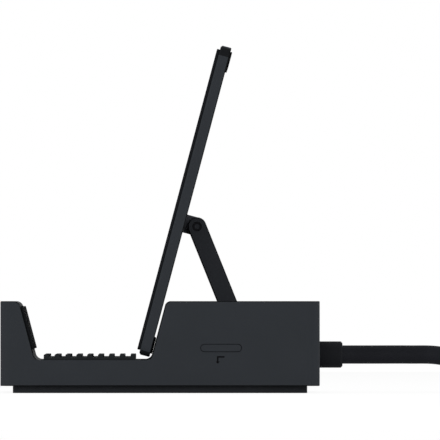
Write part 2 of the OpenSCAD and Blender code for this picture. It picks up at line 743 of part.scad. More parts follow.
// Bracket let into the plate's back, with the tongue that turns on the upper pin
module hinge_bracket() color("#2b2c33") on_plate() difference() {
    union() {
        translate([-flange_w / 2, -flange_t, hinge_up - flange_h / 2]) cube([flange_w, flange_t, flange_h]);
        translate([-tongue_w / 2, -flange_t / 2, hinge_up - strut_r])
            cube([tongue_w, hinge_out + flange_t / 2, strut_t]);
        translate([0, hinge_out, hinge_up]) barrel(strut_r, tongue_w);
    }
    translate([0, hinge_out, hinge_up]) barrel(upper_pin_r + run_gap, tongue_w + over);
    hole_r = bracket_screw_r + fit_gap;
    for (p = bracket_screw_places) translate([p.x, 0, p.y]) rotate([90, 0, 0]) {
        translate([0, 0, -over]) cylinder(h = flange_t + 2 * over, r = hole_r);
        cylinder(h = bracket_head_r - bracket_screw_r, r1 = bracket_head_r + fit_gap, r2 = hole_r);
    }
}

// Four countersunk screws that hold the bracket to the plate
module bracket_screws() color("#8d9095") on_plate() for (p = bracket_screw_places)
    translate([p.x, 0, p.y]) rotate([90, 0, 0]) difference() {
        union() {
            cylinder(h = bracket_head_r - bracket_screw_r, r1 = bracket_head_r, r2 = bracket_screw_r);
            cylinder(h = bracket_screw_len, r = bracket_screw_r);
        }
        cylinder(h = bracket_screw_r / 2, r = bracket_screw_r * 0.6, $fn = 6);
    }

// A rounded sheet that stands in the plate's frame, from one depth to another
module sheet(inset, r, from, to) {
    translate([0, to, plate_len / 2]) rotate([90, 0, 0]) linear_extrude(to - from)
        rounded_rect(body_w - 2 * inset, plate_len - 2 * inset, r);
}

// Back plate, chamfered round its front edge and pocketed for the bracket
module back_plate() color("#33353a") on_plate() difference() {
    union() {
        sheet(0, plate_r, plate_chamfer - plate_t, 0);
        hull() {
            sheet(0, plate_r, plate_chamfer - plate_t, plate_chamfer * 2 - plate_t, $fn = blend_fn);
            sheet(plate_chamfer, plate_r - plate_chamfer, -plate_t, plate_chamfer - plate_t, $fn = blend_fn);
        }
    }
    translate([-flange_w / 2 - fit_gap, -flange_t, hinge_up - flange_h / 2 - fit_gap])
        cube([flange_w + 2 * fit_gap, flange_t + over, flange_h + 2 * fit_gap]);
    for (p = bracket_screw_places) translate([p.x, 0, p.y]) rotate([90, 0, 0])
        cylinder(h = bracket_screw_len + fit_gap, r = bracket_screw_r);
}

// Soft pad on the plate's front, which the console leans on
module front_pad() color("#1b1c1e") on_plate()
    sheet(pad_inset, plate_r - pad_inset / 2, -plate_t - front_pad_t, -plate_t);

// Rubber strips on the plate's back that land on the housing
module bumper(up) on_plate() translate([0, bumper_t, up + bumper_h / 2]) rotate([90, 0, 0])
    linear_extrude(bumper_t) pill(body_w - 2 * bumper_inset, bumper_h);
module upper_bumper() color("#17181a") bumper(plate_len - bumper_end - bumper_h);
module lower_bumper() color("#17181a") bumper(bumper_end);

// A tube swept along a route, with one ring at each of its points
function heading(pts, i) =
    let (a = pts[max(i - 1, 0)], b = pts[min(i + 1, len(pts) - 1)]) (b - a) / norm(b - a);
module tube(pts, r) {
    n = len(pts);
    ring = [for (i = [0 : n - 1])
        let (t = heading(pts, i), side = cross(t, [0, 0, 1]), s = side / norm(side), u = cross(s, t))
        [for (k = [0 : tube_sides - 1])
            let (turn = 360 * k / tube_sides) pts[i] + r * (cos(turn) * s + sin(turn) * u)]];
    points = [for (loop = ring, p = loop) p];
    sides = [for (i = [0 : n - 2], k = [0 : tube_sides - 1])
        let (j = (k + 1) % tube_sides)
        [i * tube_sides + k, i * tube_sides + j, (i + 1) * tube_sides + j, (i + 1) * tube_sides + k]];
    first = [for (k = [tube_sides - 1 : -1 : 0]) k];
    last = [for (k = [0 : tube_sides - 1]) (n - 1) * tube_sides + k];
    polyhedron(points, concat(sides, [first, last]));
}
module on_cord() translate([cord_x, rear_y + relief_len, 0]) children();
module cord_lead() color("#1b1c1f") on_cord() tube(lead_route, cord_r);
module cord_tail() color("#1b1c1f") on_cord() tube(tail_route, cord_r);

// Outer shape of the coiled stretch
module cord_coil() color("#1b1c1f") on_cord() translate(coil_at) rotate_extrude() translate([coil_r, 0]) {
    translate([-cord_r, cord_r]) square([cord_d, coil_rise]);
    translate([0, cord_r]) circle(cord_r);
    translate([0, cord_r + coil_rise]) circle(cord_r);
}

// Plug on the cord's far end: a moulded grip and a bright tip
plug_place = tail_route[len(tail_route) - 1];
module on_plug() on_cord() translate(plug_place) rotate([0, -90, 0]) rotate([0, 0, 90]) children();
module plug_grip() color("#1e1f22") on_plug() linear_extrude(plug_len) pill(plug_w, plug_t);
module plug_tip() color("#b9bbbe") on_plug() translate([0, 0, plug_len]) difference() {
    linear_extrude(plug_t) pill(usb_c_w - 2 * shell_t, usb_c_h - 2 * shell_t);
    translate([0, 0, plug_t / 4]) linear_extrude(plug_t) pill(usb_c_w - 4 * shell_t, usb_c_h - 4 * shell_t);
}

top_shell();
bottom_cover();
cover_screws();
rubber_foot();
trough_mat();
lip_pad();
main_board();
board_screws();
hub_chip();
power_chip();
heat_sink();
button_switch();
network_socket();
usb_a_socket_left();
usb_a_socket_right();
video_socket();
usb_c_socket();
cord_header();
strain_relief();
lower_hinge_pin();
lower_washers();
mode_button();
strut_arm();
upper_hinge_pin();
upper_washers();
hinge_bracket();
bracket_screws();
back_plate();
front_pad();
upper_bumper();
lower_bumper();
cord_lead();
cord_coil();
cord_tail();
plug_grip();
plug_tip();
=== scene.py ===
"""A dock for a handheld console: a low housing with a trough that the console stands in,
and a folding back plate on a wide hinged strut. It is put together here in the order of
assembly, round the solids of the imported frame. Lengths are in metres, unless a comment
says millimetres."""
import json

import bmesh
import bpy
import numpy as np
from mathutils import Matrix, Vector


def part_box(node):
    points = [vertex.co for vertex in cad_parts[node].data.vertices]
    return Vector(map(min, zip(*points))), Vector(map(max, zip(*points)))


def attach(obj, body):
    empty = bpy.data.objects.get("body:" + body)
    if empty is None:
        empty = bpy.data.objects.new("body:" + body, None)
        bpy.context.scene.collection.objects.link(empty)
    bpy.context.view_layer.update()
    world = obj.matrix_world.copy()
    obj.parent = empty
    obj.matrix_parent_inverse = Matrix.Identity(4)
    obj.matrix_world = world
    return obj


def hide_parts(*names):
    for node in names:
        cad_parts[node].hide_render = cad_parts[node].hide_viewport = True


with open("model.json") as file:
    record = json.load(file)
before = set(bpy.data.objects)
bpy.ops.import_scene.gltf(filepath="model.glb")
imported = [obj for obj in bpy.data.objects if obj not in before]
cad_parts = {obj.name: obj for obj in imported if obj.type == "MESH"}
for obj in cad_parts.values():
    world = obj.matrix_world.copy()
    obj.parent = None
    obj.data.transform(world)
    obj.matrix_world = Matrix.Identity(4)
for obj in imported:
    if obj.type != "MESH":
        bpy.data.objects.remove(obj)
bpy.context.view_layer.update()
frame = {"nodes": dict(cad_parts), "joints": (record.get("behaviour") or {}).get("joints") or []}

MM = 0.001


# The studio. A white backdrop that camera, metal and glass see, a pale floor that keeps the
# dock's shadow, one large soft lamp beside the camera and weaker ones round it. The camera
# looks level at the dock's right-hand side from far off, with a very long lens.
def linear(code):
    """A hex sRGB colour as linear RGBA: each channel c becomes c / 12.92 up to 0.04045, and
    ((c + 0.055) / 1.055) to the power 2.4 above it."""
    c = np.array([int(code[i:i + 2], 16) for i in (1, 3, 5)]) / 255
    return (*np.where(c <= 0.04045, c / 12.92, ((c + 0.055) / 1.055) ** 2.4).tolist(), 1.0)


def add(tree, kind, inputs={}, **settings):
    """Adds one shader node with its own settings. Each input is a number or colour to write,
    or the output socket of another node to link."""
    made = tree.nodes.new("ShaderNode" + kind)
    for name, value in settings.items():
        setattr(made, name, value)
    for name, value in inputs.items():
        if isinstance(value, bpy.types.NodeSocket):
            tree.links.new(value, made.inputs[name])
        else:
            made.inputs[name].default_value = value
    return made


def seen(tree, share=1.0):
    """The share of a backdrop's own white: it is there for rays from the camera, from a
    reflection or through glass, and is 0 for the rays that light the object."""
    path = add(tree, "LightPath").outputs
    either = path["Is Camera Ray"]
    for other in ("Is Glossy Ray", "Is Transmission Ray"):
        either = add(tree, "Math", {0: either, 1: path[other]}, operation="MAXIMUM").outputs[0]
    return add(tree, "Math", {0: either, 1: share}, operation="MULTIPLY").outputs[0]


ROOM_LIGHT = 0.32
world = bpy.data.worlds.new("studio")
bpy.context.scene.world = world
world.use_nodes = True
tree = world.node_tree
tree.nodes.clear()
lit = add(tree, "Background", {"Color": linear("#ffffff"), "Strength": ROOM_LIGHT})
backdrop = add(tree, "Background", {"Color": linear("#ffffff"), "Strength": 1.0})
both = add(tree, "MixShader", {0: seen(tree), 1: lit.outputs[0], 2: backdrop.outputs[0]})
add(tree, "OutputWorld", {"Surface": both.outputs[0]})

FLOOR_SIZE = 3.2
FLOOR_WHITE_SHARE = 0.85
FLOOR_GLOW = 1.07
# A hair under the foot, so that the two don't share one plane
FLOOR_Z = -0.05 * MM
half = FLOOR_SIZE / 2
corners = [(x * half, y * half, FLOOR_Z) for x, y in ((-1, -1), (1, -1), (1, 1), (-1, 1))]
floor_mesh = bpy.data.meshes.new("floor")
floor_mesh.from_pydata(corners, [], [(0, 1, 2, 3)])
floor = bpy.data.objects.new("floor", floor_mesh)
bpy.context.scene.collection.objects.link(floor)
# Paper has no gloss, so the dock has a soft shadow on it and no mirror image
paper = bpy.data.materials.new("matt white paper")
paper.use_nodes = True
tree = paper.node_tree
tree.nodes.clear()
matt = add(tree, "BsdfDiffuse", {"Color": linear("#f6f6f6")})
glow = add(tree, "Emission", {"Color": linear("#ffffff"), "Strength": FLOOR_GLOW})
own_white = seen(tree, FLOOR_WHITE_SHARE)
both = add(tree, "MixShader", {0: own_white, 1: matt.outputs[0], 2: glow.outputs[0]})
add(tree, "OutputMaterial", {"Surface": both.outputs[0]})
floor_mesh.materials.append(paper)

# Each lamp: where it stands, its side, and how bright a white card facing it would be
DOCK_MIDDLE = np.array([0.0, 0.015, 0.04])
LAMPS = {
    "lamp_beside_camera": ((1.7, 0.15, 0.1), 1.0, 0.64),
    "lamp_front_left": ((0.5, -1.2, 0.4), 0.7, 0.28),
    "lamp_rear_right": ((0.2, 1.5, 0.4), 0.6, 0.22),
    "lamp_overhead": ((-0.3, 0.0, 1.5), 0.9, 0.18),
}
for name, (spot, side, level) in LAMPS.items():
    lamp = bpy.data.lights.new(name, "AREA")
    lamp.shape, lamp.size = "SQUARE", side
    reach = DOCK_MIDDLE - spot
    lamp.energy = level * np.pi ** 2 * float(reach @ reach)
    holder = bpy.data.objects.new(name, lamp)
    bpy.context.scene.collection.objects.link(holder)
    holder.location = spot
    holder.rotation_euler = Vector(reach).to_track_quat("-Z", "Y").to_euler()

# The photograph's frame: its width at the dock's near side, and the point at its middle. The
# camera stands level with the housing's top, so that what faces up hides behind its near edge.
FRAME_W = 123.9 * MM
FRAME_MIDDLE = (16.885 * MM, 48.75 * MM)
STAND = (-3 * MM, 26 * MM)
# The sensor's width and the focal length, in millimetres
SENSOR_W, FOCAL_LENGTH = 36, 1600
CLIP = (0.1, 20)
camera = bpy.data.objects.new("camera", bpy.data.cameras.new("camera"))
bpy.context.scene.collection.objects.link(camera)
bpy.context.scene.camera = camera
camera.data.sensor_width, camera.data.lens = SENSOR_W, FOCAL_LENGTH
camera.data.clip_start, camera.data.clip_end = CLIP
near_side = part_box("top_shell")[1].x
camera.location = (near_side + FOCAL_LENGTH / SENSOR_W * FRAME_W, *STAND)
aim = Vector((near_side, *FRAME_MIDDLE)) - camera.location
camera.rotation_euler = aim.to_track_quat("-Z", "Y").to_euler()


# The host cord: round PVC-jacketed cable, 5.2 mm thick. It leaves the rear wall level, sinks to
# the ground out of view, and its spare length lies in one and a quarter turns, the second on
# the first, with the plug beside it.
def smooth_line(points, steps=12):
    """Catmull-Rom line through the points: between two of them, half of
    2b + (c - a)t + (2a - 5b + 4c - d)t^2 + (3b - a - 3c + d)t^3."""
    p = np.vstack([2 * points[0] - points[1], points, 2 * points[-1] - points[-2]])
    t = np.linspace(0, 1, steps, endpoint=False)[None, :, None]
    a, b, c, d = (p[i:len(p) - 3 + i, None] for i in range(4))
    bend, twist = 2 * a - 5 * b + 4 * c - d, 3 * b - a - 3 * c + d
    line = (2 * b + (c - a) * t + bend * t ** 2 + twist * t ** 3) / 2
    return np.vstack([line.reshape(-1, 3), points[-1:]])


def ease(t):
    """Rises from 0 to 1 with no corner: 6t^5 - 15t^4 + 10t^3."""
    t = np.clip(t, 0, 1)
    return t ** 3 * (t * (6 * t - 15) + 10)


def loft(name, *stacks):
    """A closed skin over each stack of rings, an array of (rings, points, 3): four-sided faces
    between each ring and the next, and one face over each end. All skins are one mesh."""
    faces, first = [], 0
    for rings in stacks:
        n, k = rings.shape[:2]
        i, j = np.meshgrid(np.arange(n - 1), np.arange(k), indexing="ij")
        a, b = first + i * k + j, first + i * k + (j + 1) % k
        faces += np.stack([a, b, b + k, a + k], -1).reshape(-1, 4).tolist()
        last = first + (n - 1) * k
        faces += [list(range(first, first + k))[::-1], list(range(last, last + k))]
        first += n * k
    mesh = bpy.data.meshes.new(name)
    mesh.from_pydata(np.vstack([rings.reshape(-1, 3) for rings in stacks]).tolist(), [], faces)
    outward = bmesh.new()
    outward.from_mesh(mesh)
    bmesh.ops.recalc_face_normals(outward, faces=outward.faces)
    outward.to_mesh(mesh)
    outward.free()
    return mesh


def tube(path, radius, sides=28):
    """Rings round a path that never stands upright: middle + r (cos u * side + sin u * up),
    where side is level and square to the path, and up is square to both."""
    along = np.gradient(path, axis=0)
    along /= np.linalg.norm(along, axis=1, keepdims=True)
    side = np.cross(along, [0, 0, 1.0])
    side /= np.linalg.norm(side, axis=1, keepdims=True)
    up = np.cross(side, along)
    u = np.linspace(0, 2 * np.pi, sides, endpoint=False)[None, :, None]
    r = np.broadcast_to(radius, len(path))[:, None, None]
    return path[:, None] + r * (np.cos(u) * side[:, None] + np.sin(u) * up[:, None])


def place(name, mesh, material, body="root", smooth_below=35):
    """Puts a finished mesh in the scene as one piece, shaded smooth across every edge that
    turns less than the angle."""
    mesh.materials.clear()
    mesh.materials.append(material)
    mesh.shade_smooth()
    mesh.set_sharp_from_angle(angle=np.radians(smooth_below))
    made = bpy.data.objects.new(name, mesh)
    bpy.context.scene.collection.objects.link(made)
    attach(made, body)
    return made


# Flow marks and handling, about 11 mm from one to the next, as a noise's scale per metre, and
# the two values that a noise mostly keeps between
FLOW_MARKS = 90.0
NOISE_LOW, NOISE_HIGH = 0.3, 0.7


def moulding(name, colour, rough, grain, depth, specular=0.5, mottle=0.14):
    """A moulded plastic or rubber. A slow noise mottles the colour, by 1 - mottle up to
    1 + mottle. A fine noise roughens the surface and varies its gloss by 0.05 either way. The
    grain is the fine noise's size: a mould's own pits, of about 0.05 mm, are too fine to show
    and are drawn coarser."""
    made = bpy.data.materials.new(name)
    made.use_nodes = True
    tree = made.node_tree
    tree.nodes.clear()
    where = add(tree, "TexCoord").outputs["Object"]
    slow = add(tree, "TexNoise", {"Vector": where, "Scale": FLOW_MARKS, "Detail": 3.0})
    fine = add(tree, "TexNoise", {"Vector": where, "Scale": 1 / grain, "Detail": 2.0})
    shade = add(tree, "MapRange", {
        "Value": slow.outputs["Fac"], "From Min": NOISE_LOW, "From Max": NOISE_HIGH,
        "To Min": 1 - mottle, "To Max": 1 + mottle})
    tint = add(tree, "VectorMath", {0: linear(colour)[:3], "Scale": shade.outputs[0]},
               operation="SCALE")
    gloss = add(tree, "MapRange", {
        "Value": fine.outputs["Fac"], "From Min": NOISE_LOW, "From Max": NOISE_HIGH,
        "To Min": rough - 0.05, "To Max": rough + 0.05})
    relief = add(tree, "Bump", {"Height": fine.outputs["Fac"], "Distance": depth, "Strength": 0.6})
    skin = add(tree, "BsdfPrincipled", {
        "Base Color": tint.outputs[0], "Roughness": gloss.outputs[0],
        "Normal": relief.outputs[0], "IOR": 1.46, "Specular IOR Level": specular})
    add(tree, "OutputMaterial", {"Surface": skin.outputs[0]})
    return made


# The route, from the relief's end: the lead sinks to the ground, and the tail comes down off
# the coil to the plug
CORD_R = 2.6 * MM
CORD_START = np.array([40, 51.6, 0])
LEAD = (CORD_START + [
    (0, 0, 10.8), (0, 8.7, 10.8), (0, 18.7, 10.8), (0, 26.7, 10.6), (0, 34.7, 8.9),
    (0, 41.7, 6.1), (0, 48.7, 3.7), (0, 55.7, 2.75), (0, 62.7, 2.7)]) * MM
TAIL = (CORD_START + [
    (-29, 91.7, 8), (-36, 91.7, 8), (-43, 91.7, 7.6), (-50, 91.7, 6.2), (-57, 91.7, 4.4),
    (-64, 91.7, 3.3), (-69, 91.7, 3.3)]) * MM
# The coil: one and a quarter turns, which climb over their own start from 150 to 330 degrees
COIL_MIDDLE = (CORD_START + (-29, 62.7, 0)) * MM
COIL_R = 29 * MM
COIL_LOW, COIL_HIGH = 2.7 * MM, 8.0 * MM
COIL_DEGREES, COIL_STEPS = 450, 151
CLIMB_FROM, CLIMB_OVER = 150, 180
degrees = np.linspace(0, COIL_DEGREES, COIL_STEPS)
turn = np.radians(degrees)
climb = COIL_LOW + (COIL_HIGH - COIL_LOW) * ease((degrees - CLIMB_FROM) / CLIMB_OVER)
coil = np.column_stack([
    COIL_MIDDLE[0] + COIL_R * np.cos(turn), COIL_MIDDLE[1] + COIL_R * np.sin(turn), climb])
cord_line = np.vstack([smooth_line(LEAD), coil[1:], smooth_line(TAIL)[1:]])
# Satin PVC is nearly black, with one weak and broad highlight along the cord
cord_pvc = moulding("PVC cord jacket, satin", "#1f2024", 0.6, 0.25 * MM, 0.02 * MM, specular=0.03)
cord_mesh = loft("host_cord", tube(cord_line, CORD_R))
host_cord = place("host_cord", cord_mesh, cord_pvc)
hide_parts("cord_lead", "cord_coil", "cord_tail")


# The strain relief: a soft moulded sleeve round the cord where it leaves the rear wall, with
# a flange that the wall holds.
def edge_middles(mesh):
    """The middle of each edge, as an array of (edges, 3), in millimetres."""
    points = np.empty(3 * len(mesh.vertices), np.float32)
    mesh.vertices.foreach_get("co", points)
    ends = np.empty(2 * len(mesh.edges), np.int32)
    mesh.edges.foreach_get("vertices", ends)
    return points.reshape(-1, 3)[ends.reshape(-1, 2)].mean(axis=1) / MM


def face_middles(mesh):
    """The middle of each face, as an array of (faces, 3), in millimetres."""
    middles = np.empty(3 * len(mesh.polygons), np.float32)
    mesh.polygons.foreach_get("center", middles)
    return middles.reshape(-1, 3) / MM


# Two points of a CAD mesh closer than this are one, and faces that turn less are one face
SAME_POINT = 0.0005 * MM
SAME_FACE = np.radians(0.4)


def softened(node, name, width, material, body, segments=2, smooth_below=35, rim=None,
             crisp=None, inset=None):
    """A copy of a CAD node with its loose triangles merged and its sharp edges rounded by the
    width, as a mould or a deburring wheel leaves them. The rim is the rounding's own material,
    where it has one, used for painted shade along the edges, and crisp picks the edges that
    stay as they are. The inset is a second material and the function that picks its faces. Both
    pick by middles in millimetres. The copy stands for the node."""
    mesh = frame["nodes"][node].data.copy()
    mesh.name = name
    whole = bmesh.new()
    whole.from_mesh(mesh)
    bmesh.ops.remove_doubles(whole, verts=whole.verts, dist=SAME_POINT)
    bmesh.ops.dissolve_limit(whole, angle_limit=SAME_FACE, verts=whole.verts, edges=whole.edges)
    whole.to_mesh(mesh)
    whole.free()
    if "custom_normal" in mesh.attributes:
        mesh.attributes.remove(mesh.attributes["custom_normal"])
    made = place(name, mesh, material, body, smooth_below)
    edge = made.modifiers.new("rounded edges", "BEVEL")
    sharp = np.empty(len(mesh.edges), bool)
    mesh.attributes["sharp_edge"].data.foreach_get("value", sharp)
    if crisp:
        sharp &= ~crisp(edge_middles(mesh))
    share = mesh.attributes.new("bevel_weight_edge", "FLOAT", "EDGE")
    share.data.foreach_set("value", sharp.astype(np.float32))
    edge.width, edge.segments, edge.limit_method = width, segments, "WEIGHT"
    edge.use_clamp_overlap = edge.loop_slide = False
    edge.harden_normals = True
    if rim:
        mesh.materials.append(rim)
        edge.material = 1
    if inset:
        second, picked = inset
        mesh.materials.append(second)
        index = picked(face_middles(mesh)).astype(np.int32) * (len(mesh.materials) - 1)
        mesh.polygons.foreach_set("material_index", index)
    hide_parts(node)
    return made


# Moulded TPE is duller than the jacket that comes out of it
relief_rubber = moulding("moulded TPE sleeve, matt", "#1e1f22", 0.65, 0.3 * MM, 0.02 * MM,
                         specular=0.03)
sleeve = softened("strain_relief", "cord_sleeve", 0.1 * MM, relief_rubber, "root")

# The plug on the cord's far end: a moulded grip with a flat oval section, and the bright
# pressed-steel tip that goes into the host. The grip is smoother than the jacket, so its round
# edges catch the light.
grip_pvc = moulding("moulded PVC plug grip", "#1e1f22", 0.5, 0.25 * MM, 0.02 * MM, specular=0.35)
grip = softened("plug_grip", "host_plug_grip", 0.9 * MM, grip_pvc, "root",
                segments=4)


def metal(name, colour, rough, scratch, stretch=(1, 1, 1), depth=0.004 * MM):
    """A bare or plated metal. A noise stretched along the way it was worked varies its gloss
    by 0.08 either way and leaves fine lines. The scratch is their size: lines from rolling or
    turning, of about 0.02 mm, are too fine to show and are drawn coarser."""
    made = bpy.data.materials.new(name)
    made.use_nodes = True
    tree = made.node_tree
    tree.nodes.clear()
    where = add(tree, "TexCoord").outputs["Object"]
    drawn = add(tree, "Mapping", {"Vector": where, "Scale": stretch}).outputs[0]
    lines = add(tree, "TexNoise", {"Vector": drawn, "Scale": 1 / scratch, "Detail": 3.0})
    gloss = add(tree, "MapRange", {
        "Value": lines.outputs["Fac"], "From Min": NOISE_LOW, "From Max": NOISE_HIGH,
        "To Min": rough - 0.08, "To Max": rough + 0.08})
    relief = add(tree, "Bump", {"Height": lines.outputs["Fac"], "Distance": depth, "Strength": 0.5})
    skin = add(tree, "BsdfPrincipled", {
        "Base Color": linear(colour), "Metallic": 1.0, "Roughness": gloss.outputs[0],
        "Normal": relief.outputs[0]})
    add(tree, "OutputMaterial", {"Surface": skin.outputs[0]})
    return made


# Nickel plate is bright, and its reflections are soft
nickel = metal("nickel-plated pressed steel", "#b9bbbe", 0.28, 0.2 * MM)
tip = softened("plug_tip", "host_plug_tip", 0.12 * MM, nickel, "root")

# The foot: one flat ring of soft rubber under the dock, glued on over the cover's screws. Its
# grain leaves it dull and even.
foot_rubber = moulding("moulded TPE foot, matt", "#292b2e", 0.7, 0.35 * MM, 0.03 * MM,
                       specular=0.04)
softened("rubber_foot", "foot_ring", 0.12 * MM, foot_rubber, "root")


# The bottom cover and its screws: a flat moulded lid with the posts that carry the board, held
# by six countersunk screws of blackened steel.
def dress(node, material):
    """Gives a CAD node, kept as it is, its finish."""
    mesh = frame["nodes"][node].data
    mesh.materials.clear()
    mesh.materials.append(material)


# Eroded ABS has a fine grain that breaks up every highlight
cover_abs = moulding("ABS cover, eroded finish", "#202225", 0.58, 0.3 * MM, 0.03 * MM,
                     specular=0.3)
softened("bottom_cover", "cover", 0.2 * MM, cover_abs, "root")
# Blackened steel is dark, with a dull gleam where the light strikes it
screw_steel = metal("blackened steel screws", "#5a5d62", 0.4, 0.15 * MM)
dress("cover_screws", screw_steel)

# The board: green glass-fibre laminate with its copper showing through the lacquer, its
# screws, two packages of black epoxy, the heat sink on the larger one and the switch. The
# lacquer is shiny, and copper under it makes patches of lighter and darker green.
board_green = moulding("glass-fibre board, green lacquer", "#1c5136", 0.35, 0.6 * MM, 0.01 * MM,
                       mottle=0.3)
dress("main_board", board_green)
# Zinc plate is light grey, with a dull shine
dress("board_screws", metal("zinc-plated steel screws", "#9a9da2", 0.35, 0.15 * MM))
# Moulded epoxy is black, with a weak gloss
epoxy = moulding("moulded epoxy chip", "#1b1c1f", 0.45, 0.2 * MM, 0.01 * MM)
for node in ("hub_chip", "power_chip"):
    dress(node, epoxy)
# Extrusion draws the sink's lines out along its fins
ALONG_FINS = (1, 0.05, 1)
dress("heat_sink", metal("extruded aluminium heat sink", "#a9acb0", 0.4, 0.4 * MM, ALONG_FINS))
# PBT is a dark grey with some gloss, and natural nylon a creamy white
dress("button_switch", moulding("PBT switch body", "#26272a", 0.5, 0.3 * MM, 0.01 * MM))
dress("cord_header", moulding("nylon header, natural", "#d6d2c6", 0.45, 0.3 * MM, 0.01 * MM))


# The rear sockets: pressed and nickel-plated steel shells round black tongues. The gilt
# contacts lie in the tongues' faces, a hair proud, as they do where the tongue is moulded round
# them. The tables are in millimetres.
def box_mm(node):
    """A CAD node's lowest and highest corners, in millimetres."""
    return [np.array(corner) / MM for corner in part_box(node)]


# Each tongue: its width, and its lowest and highest z over the board
TONGUES = {
    "usb_a_socket_left": (11.0, 3.19, 4.93),
    "usb_a_socket_right": (11.0, 3.19, 4.93),
    "video_socket": (11.1, 2.52, 3.53),
    "usb_c_socket": (6.48, 1.32, 1.98),
}
# Each tongue's contacts: how far in they start and end, their width, and where they stand
# across the tongue, underneath it and on top of it
CONTACTS = {
    "usb_a_socket_left": (1.2, 8.4, 1.0, [-3.5, -1, 1, 3.5], []),
    "usb_a_socket_right": (1.2, 8.4, 1.0, [-3.5, -1, 1, 3.5], []),
    "video_socket": (0.9, 6.4, 0.45, np.arange(-4, 4.1), np.arange(-4.5, 4.6)),
    "usb_c_socket": (0.8, 4.6, 0.26, np.arange(-2.75, 2.8, 0.5), np.arange(-2.75, 2.8, 0.5)),
}
CONTACT_PROUD = 0.05
# The tongues' faces start and end this far behind the mouth, and the pick has this slack
TONGUE_FRONT, TONGUE_BACK, SLACK = 0.38, 9.0, 0.02
board_top = box_mm("main_board")[1][2]
# Glass-filled nylon is black with a grey, half-dull gloss
socket_black = moulding("glass-filled nylon, black", "#1a1b1d", 0.5, 0.25 * MM, 0.01 * MM)
# Gold plate is bright, and the only warm colour on the outside
gilt = metal("gold-plated contacts", "#c9a35a", 0.3, 0.1 * MM)


def bar(x, z, half_w, half_h, y0, y1):
    """Rings of a straight bar along Y, in millimetres, whose ends narrow to 0.6 over a length
    of half its width."""
    ends = [(y0, 0.6), (y0 + half_w, 1.0), (y1 - half_w, 1.0), (y1, 0.6)]
    corners = np.array([(i * half_w, 0, k * half_h) for i, k in ((-1, -1), (1, -1), (1, 1), (-1, 1))])
    return np.array([corners * share + (x, y, z) for y, share in ends]) * MM


contacts = []
for node, (w, low, high) in TONGUES.items():
    lowest, highest = box_mm(node)
    x, mouth = (lowest[0] + highest[0]) / 2, highest[1]
    low, high = board_top + low, board_top + high
    start = [x - w / 2 - SLACK, mouth - TONGUE_BACK, low - SLACK]
    end = [x + w / 2 + SLACK, mouth - TONGUE_FRONT, high + SLACK]
    softened(node, node + "_shell", 0.04 * MM, nickel, "root", segments=1,
             inset=(socket_black, lambda p: np.all((p > start) & (p < end), axis=1)))
    near, far, width, under, over = CONTACTS[node]
    contacts += [bar(x + side, z, width / 2, CONTACT_PROUD, mouth - far, mouth - near)
                 for places, z in ((under, low), (over, high)) for side in places]
place("socket_contacts", loft("socket_contacts", *contacts), gilt)

# The network socket: one block of black nylon. Eight spring wires slant down and inwards from
# the mouth's upper edge, and two clear lenses sit in its face above them.
softened("network_socket", "network_jack", 0.1 * MM, socket_black, "root")
WIRE_COUNT, WIRE_PITCH, WIRE_R, WIRE_SIDES = 8, 1.02, 0.16, 8
# One wire's line in the socket's middle plane, as y and z
WIRE_LINE = [(43.4, 17.7), (42.6, 17.3), (40.5, 16.2), (37.6, 14.9), (35.4, 14.2)]
net_x = np.mean(box_mm("network_socket"), axis=0)[0]
wire_path = smooth_line(np.array([(net_x, y, z) for y, z in WIRE_LINE]), steps=4) * MM
wire = tube(wire_path, WIRE_R * MM, WIRE_SIDES)
wires = [wire + np.array([i * WIRE_PITCH * MM, 0, 0])
         for i in np.arange(WIRE_COUNT) - (WIRE_COUNT - 1) / 2]
place("network_wires", loft("network_wires", *wires), gilt)
LENS_OUT, LENS_Z, LENS_HALF_W, LENS_HALF_H = 5.6, 19.2, 1.4, 0.75
LENS_Y = (43.6, 44.8)
# A smoked lens with no lamp behind it is a glossy grey green
smoked = moulding("clear polycarbonate lens, smoked", "#8f9a86", 0.2, 0.5 * MM, 0.002 * MM,
                  mottle=0.05)
lenses = [bar(net_x + side * LENS_OUT, LENS_Z, LENS_HALF_W, LENS_HALF_H, *LENS_Y)
          for side in (-1, 1)]
place("network_lenses", loft("network_lenses", *lenses), smoked)

# The housing: one ABS moulding with a fine eroded finish, its edges broken by a small radius.
# The finish is dark grey and spreads every highlight over the whole wall. The roundings of the
# edges are painted nearly black: painted shade along every edge.
housing_abs = moulding("ABS housing, fine eroded finish", "#2e3135", 0.62, 0.35 * MM, 0.02 * MM,
                       specular=0.05, mottle=0.03)
abs_edge_shade = moulding("ABS edges, painted shade", "#0c0d0e", 0.5, 0.35 * MM, 0.005 * MM,
                   specular=0.02, mottle=0.03)
button_low, button_high = box_mm("mode_button")
# The middle of the button's outer face, and the half sizes of a block round it and its arrow
button_middle = np.array([button_high[0], *(button_low + button_high)[1:] / 2])
BUTTON_BLOCK = (2.5, 6.5, 5)
trough_floor = box_mm("trough_mat")[0][2]
NEAR_FLOOR = 0.3


def small_edges(p):
    """Edges of the button's slot, of the engraved arrow under it and of the trough's floor."""
    button = np.all(np.abs(p - button_middle) < BUTTON_BLOCK, axis=1)
    return button | (np.abs(p[:, 2] - trough_floor) < NEAR_FLOOR)


softened("top_shell", "housing", 0.22 * MM, housing_abs, "root", rim=abs_edge_shade,
         crisp=small_edges)

